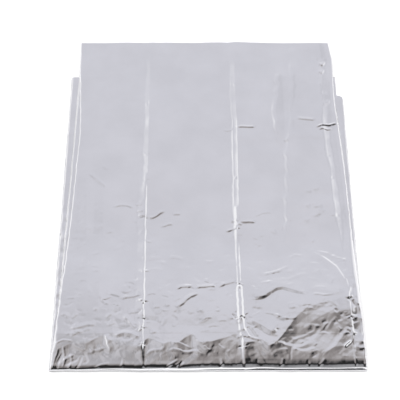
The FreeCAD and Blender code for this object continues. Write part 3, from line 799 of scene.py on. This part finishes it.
# ---------------------------------------------------------------------------
# Stage, light, camera
# ---------------------------------------------------------------------------
bpy.ops.mesh.primitive_grid_add(x_subdivisions=4, y_subdivisions=4, size=3.4, location=(0, 0.2, -0.0004))
floor = bpy.context.object
floor.name = "floor"
fm = bpy.data.materials.new("floor")
fm.use_nodes = True
fb = fm.node_tree.nodes["Principled BSDF"]
fn = fm.node_tree.nodes.new("ShaderNodeTexNoise")
fn.inputs["Scale"].default_value = 3
fr = fm.node_tree.nodes.new("ShaderNodeValToRGB")
fr.color_ramp.elements[0].color = (0.90, 0.90, 0.90, 1)
fr.color_ramp.elements[1].color = (0.92, 0.92, 0.92, 1)
fm.node_tree.links.new(fn.outputs["Fac"], fr.inputs["Fac"])
fm.node_tree.links.new(fr.outputs["Color"], fb.inputs["Base Color"])
fb.inputs["Roughness"].default_value = 0.9
fb.inputs["Specular IOR Level"].default_value = 0.0
floor.data.materials.append(fm)

# the studio: pale ahead, behind and at the sides, dim overhead
world = bpy.data.worlds.new("studio")
bpy.context.scene.world = world
world.use_nodes = True
wt = world.node_tree
wt.nodes.clear()
N, L = wt.nodes.new, wt.links.new
wo = N("ShaderNodeOutputWorld")
bg = N("ShaderNodeBackground")
white = N("ShaderNodeBackground")
white.inputs["Color"].default_value = (1, 1, 1, 1)
white.inputs["Strength"].default_value = 1.02
lp = N("ShaderNodeLightPath")
mixs = N("ShaderNodeMixShader")
L(lp.outputs["Is Camera Ray"], mixs.inputs[0])
L(bg.outputs[0], mixs.inputs[1])
L(white.outputs[0], mixs.inputs[2])
L(mixs.outputs[0], wo.inputs[0])
tc = N("ShaderNodeTexCoord")
sp = N("ShaderNodeSeparateXYZ")
L(tc.outputs["Generated"], sp.inputs[0])
at = N("ShaderNodeMath"); at.operation = "ARCTAN2"
L(sp.outputs["Z"], at.inputs[0]); L(sp.outputs["Y"], at.inputs[1])
dv = N("ShaderNodeMath"); dv.operation = "DIVIDE"
L(at.outputs[0], dv.inputs[0]); dv.inputs[1].default_value = math.pi
# below the near horizon counts as the near horizon, not the far one
low_near = N("ShaderNodeMath"); low_near.operation = "LESS_THAN"
L(dv.outputs[0], low_near.inputs[0]); low_near.inputs[1].default_value = -0.5
full = N("ShaderNodeMath"); full.operation = "MULTIPLY_ADD"
L(low_near.outputs[0], full.inputs[0]); full.inputs[1].default_value = 2
L(dv.outputs[0], full.inputs[2])
# overhead, the right-hand side of the room is darker
from_e = N("ShaderNodeMapRange")
from_e.interpolation_type = "SMOOTHSTEP"
from_e.inputs["From Min"].default_value = 54 / 180
from_e.inputs["From Max"].default_value = 63 / 180
L(full.outputs[0], from_e.inputs["Value"])
from_x = N("ShaderNodeMapRange")
from_x.interpolation_type = "SMOOTHSTEP"
from_x.inputs["From Min"].default_value = -0.26
from_x.inputs["From Max"].default_value = 0.38
from_x.inputs["To Max"].default_value = 51 / 180
L(sp.outputs["X"], from_x.inputs["Value"])
shift = N("ShaderNodeMath"); shift.operation = "MULTIPLY_ADD"
L(from_e.outputs["Result"], shift.inputs[0])
L(from_x.outputs["Result"], shift.inputs[1])
L(full.outputs[0], shift.inputs[2])
ramp = N("ShaderNodeValToRGB")
L(shift.outputs[0], ramp.inputs["Fac"])
# (elevation from the far horizon, over the top, to the near one; red, green, blue)
stops = [
    (0, (1.30, 1.30, 1.32)), (12, (1.12, 1.12, 1.15)), (20, (0.95, 0.95, 0.99)), (28, (0.80, 0.80, 0.85)), (36, (0.735, 0.735, 0.79)), (43, (0.72, 0.72, 0.775)),
    (53.5, (0.715, 0.71, 0.76)), (57.5, (0.66, 0.653, 0.692)), (63, (0.655, 0.648, 0.682)), (73, (0.625, 0.612, 0.64)), (83, (0.55, 0.53, 0.54)), (92, (0.43, 0.405, 0.402)),
    (101, (0.33, 0.305, 0.299)), (110, (0.226, 0.208, 0.204)), (117, (0.09, 0.086, 0.088)), (122, (0.025, 0.025, 0.025)), (151, (0.025, 0.025, 0.025)), (156, (0.14, 0.14, 0.145)),
    (166, (0.28, 0.28, 0.29)), (180, (0.40, 0.40, 0.41)),
]
cr = ramp.color_ramp
cr.interpolation = "LINEAR"
cr.elements[0].position, cr.elements[0].color = 0, (*stops[0][1], 1)
cr.elements[1].position, cr.elements[1].color = 1, (*stops[-1][1], 1)
for deg, v in stops[1:-1]:
    e = cr.elements.new(deg / 180)
    e.color = (*v, 1)
# pale walls at both sides, and a slightly dimmer stretch just right of the middle
half = N("ShaderNodeMapRange")
half.inputs["From Min"].default_value = -1
half.inputs["From Max"].default_value = 1
L(sp.outputs["X"], half.inputs["Value"])


def wall_ramp(points):
    node = N("ShaderNodeValToRGB")
    r = node.color_ramp
    r.interpolation = "EASE"
    r.elements[0].position, r.elements[0].color = (points[0][0] + 1) / 2, (points[0][1],) * 3 + (1,)
    r.elements[1].position, r.elements[1].color = (points[-1][0] + 1) / 2, (points[-1][1],) * 3 + (1,)
    for x, v in points[1:-1]:
        r.elements.new((x + 1) / 2).color = (v, v, v, 1)
    L(half.outputs["Result"], node.inputs["Fac"])
    return node


dim = wall_ramp([(-1, 1), (0.12, 1), (0.18, 0.93), (0.26, 1), (1, 1)])
wall = wall_ramp([(-1, 0.28), (-0.93, 0.34), (-0.78, 1), (-0.53, 1), (-0.18, 0), (0.23, 0), (0.56, 1), (0.78, 1), (0.93, 0.34), (1, 0.28)])
dm = N("ShaderNodeMix"); dm.data_type = "RGBA"; dm.blend_type = "MULTIPLY"
dm.inputs["Factor"].default_value = 1
L(ramp.outputs["Color"], dm.inputs["A"])
# and a dimmer stretch far left, above the pale part
left_x = N("ShaderNodeMapRange"); left_x.interpolation_type = "SMOOTHSTEP"
left_x.inputs["From Min"].default_value = -0.060
left_x.inputs["From Max"].default_value = -0.100
L(sp.outputs["X"], left_x.inputs["Value"])
left_e = N("ShaderNodeMapRange")
left_e.inputs["From Min"].default_value = 45 / 180
left_e.inputs["From Max"].default_value = 67 / 180
L(full.outputs[0], left_e.inputs["Value"])
far_x = N("ShaderNodeMapRange"); far_x.interpolation_type = "SMOOTHSTEP"
far_x.inputs["From Min"].default_value = -0.19
far_x.inputs["From Max"].default_value = -0.13
L(sp.outputs["X"], far_x.inputs["Value"])
left_n = N("ShaderNodeMath"); left_n.operation = "MULTIPLY"
L(left_x.outputs["Result"], left_n.inputs[0]); L(far_x.outputs["Result"], left_n.inputs[1])
left_m = N("ShaderNodeMath"); left_m.operation = "MULTIPLY"
L(left_n.outputs[0], left_m.inputs[0]); L(left_e.outputs["Result"], left_m.inputs[1])
left_v = N("ShaderNodeMath"); left_v.operation = "MULTIPLY_ADD"
L(left_m.outputs[0], left_v.inputs[0]); left_v.inputs[1].default_value = -0.22; left_v.inputs[2].default_value = 1.0
dl = N("ShaderNodeMix"); dl.data_type = "RGBA"; dl.blend_type = "MULTIPLY"
dl.inputs["Factor"].default_value = 1
L(dm.outputs["Result"], dl.inputs["A"]); L(left_v.outputs[0], dl.inputs["B"])
L(dim.outputs["Color"], dm.inputs["B"])
mx = N("ShaderNodeMix"); mx.data_type = "RGBA"
# the walls reach only part of the way up, except far out
up_ = N("ShaderNodeMapRange")
up_.interpolation_type = "SMOOTHSTEP"
up_.inputs["From Min"].default_value = 54 / 180
up_.inputs["From Max"].default_value = 64 / 180
up_.inputs["To Min"].default_value = 1.0
up_.inputs["To Max"].default_value = 0.1
L(full.outputs[0], up_.inputs["Value"])
wm = N("ShaderNodeMath"); wm.operation = "MULTIPLY"
L(wall.outputs["Color"], wm.inputs[0]); L(up_.outputs["Result"], wm.inputs[1])
outer = wall_ramp([(-1, 0.28), (-0.93, 0.34), (-0.80, 1), (-0.70, 1), (-0.46, 0), (0.46, 0), (0.70, 1), (0.80, 1), (0.93, 0.34), (1, 0.28)])
wf = N("ShaderNodeMath"); wf.operation = "MAXIMUM"
L(wm.outputs[0], wf.inputs[0]); L(outer.outputs["Color"], wf.inputs[1])
L(wf.outputs[0], mx.inputs["Factor"])
L(dl.outputs["Result"], mx.inputs["A"])
mx.inputs["B"].default_value = (1.06, 1.06, 1.075, 1)
L(mx.outputs["Result"], bg.inputs["Color"])
bg.inputs["Strength"].default_value = 1.0

# a broad soft light overhead for the floor, too high up to show in the film
lamp = bpy.data.lights.new("overhead", "AREA")
lamp.shape = "SQUARE"
lamp.size = 3.2
lamp.energy = 88
lo_ = bpy.data.objects.new("overhead", lamp)
lo_.location = (0, 0.1, 2.4)
lo_.visible_glossy = False
bpy.context.scene.collection.objects.link(lo_)

cam = bpy.data.cameras.new("camera")
cam.lens = 142.65
cam.sensor_width = 36
cam.clip_start = 0.05
cam.clip_end = 50
co = bpy.data.objects.new("camera", cam)
co.location = (-0.0085, -1.292, 1.424)
co.rotation_euler = (math.radians(42), 0, 0)
bpy.context.scene.collection.objects.link(co)
bpy.context.scene.camera = co

vs = bpy.context.scene.view_settings
vs.view_transform = "Standard"
vs.look = "None"
vs.exposure = 0
vs.gamma = 1
